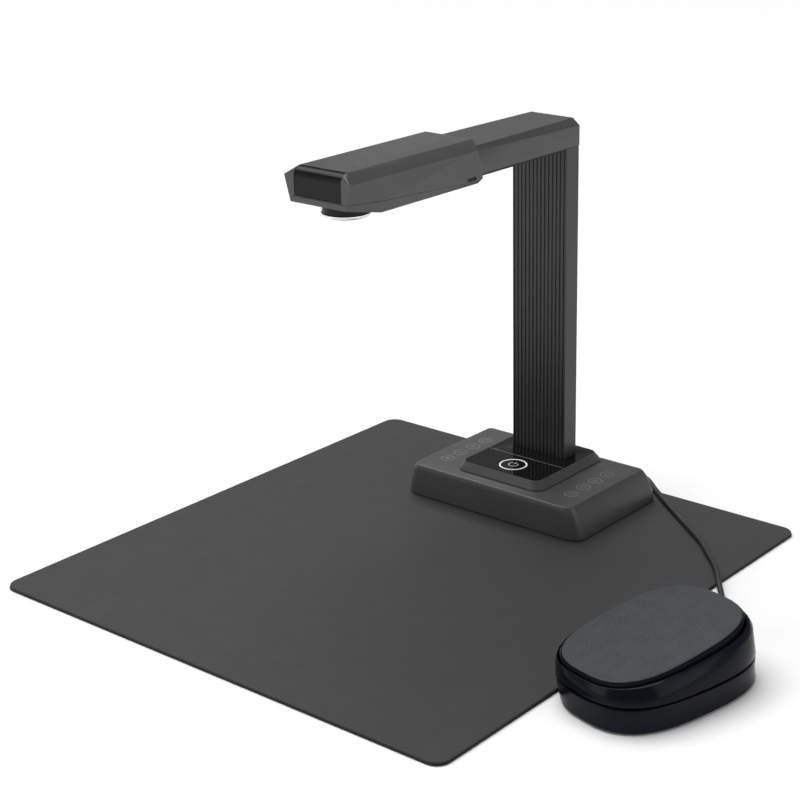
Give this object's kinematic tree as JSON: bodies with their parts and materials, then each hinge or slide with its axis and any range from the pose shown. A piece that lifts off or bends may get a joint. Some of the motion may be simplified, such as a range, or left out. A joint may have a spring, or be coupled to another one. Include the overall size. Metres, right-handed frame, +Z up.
{
  "type": "book scanner",
  "caption": "Overhead book scanner: flat work mat, weighted touch-key base, ribbed column, arm with a downward camera head, and a corded foot pedal.",
  "frame": {"origin": "middle of the mat's flat underside, which lies on the table", "axes": "+Z up, +Y from the reader towards the column, +X to the reader's right"},
  "size_m": [0.5885, 0.5133, 0.3629],
  "materials": {
    "mat_sheet": "soft satin sheet",
    "mat_grip": "matt",
    "housing": "fine satin texture",
    "gloss_panel": "polished",
    "column_metal": "black anodised",
    "window": "smoked",
    "black_plastic": "satin",
    "lens_ring": "bright",
    "lens_glass": "coated",
    "light_plastic": "frosted",
    "circuit_board": "solder mask",
    "steel": "zinc plated",
    "rubber": "matt",
    "pedal_shell": "polished",
    "pedal_pad": "fine tread pattern",
    "cord_jacket": "satin"
  },
  "bodies": {
    "scanner": {"mat_top_sheet": "mat_sheet", "mat_base_layer": "mat_grip", "base_housing": "housing", "base_bottom_plate": "steel", "ballast_plate": "steel", "column_foot_bracket": "steel", "main_board": "circuit_board", "touch_board_left": "circuit_board", "touch_board_right": "circuit_board", "dc_socket": "black_plastic", "usb_socket": "steel", "pedal_socket": "steel", "platform_bezel": "housing", "power_panel": "gloss_panel", "rear_gloss_panel": "gloss_panel", "power_ring_light": "light_plastic", "column_extrusion": "column_metal", "arm_shell": "housing", "arm_bottom_cover": "black_plastic", "arm_bracket": "steel", "head_upper_shell": "housing", "head_lower_shell": "housing", "front_window": "window", "side_slot_insert": "black_plastic", "lens_barrel": "black_plastic", "lens_trim_ring": "lens_ring", "lens_glass": "lens_glass", "sensor_board": "circuit_board", "reading_light_1": "light_plastic", "reading_light_2": "light_plastic", "wiring_harness": "rubber", "pedal_base": "pedal_shell", "pedal_housing": "pedal_shell", "pedal_hinge_pin": "steel", "microswitch_body": "black_plastic", "pedal_spring": "steel", "pedal_strain_relief": "rubber", "pedal_cord": "cord_jacket", "pedal_plug": "black_plastic", "base_foot_1": "rubber", "base_screw_1": "steel", "pedal_foot_1": "rubber", "base_foot_2": "rubber", "base_screw_2": "steel", "pedal_foot_2": "rubber", "base_foot_3": "rubber", "base_screw_3": "steel", "pedal_foot_3": "rubber", "base_foot_4": "rubber", "base_screw_4": "steel", "pedal_foot_4": "rubber", "arm_screw_1": "steel", "head_screw_1": "steel", "arm_screw_2": "steel", "head_screw_2": "steel"},
    "pedal_lid": {"pedal_tread": "pedal_shell", "pedal_tread_pad": "pedal_pad"},
    "plunger": {"switch_plunger": "light_plastic"}
  },
  "joints": [
    {"name": "pedal_press", "type": "hinge", "parent": "scanner", "child": "pedal_lid", "pos_m": [0.28123, -0.10495, 0.0245], "axis": [-0.9772, 0.2124, 0], "range_deg": [0, 2.5], "stiffness_Nm_per_rad": 25, "springref_deg": -2.86, "deforming": ["pedal_spring"]},
    {"name": "plunger_travel", "type": "slide", "parent": "scanner", "child": "plunger", "axis": [0, 0, -1], "range_m": [0, 0.00125]}
  ],
  "couplings": [
    {"joint": "plunger_travel", "follows": "pedal_press", "m_per_rad": 0.0275}
  ]
}
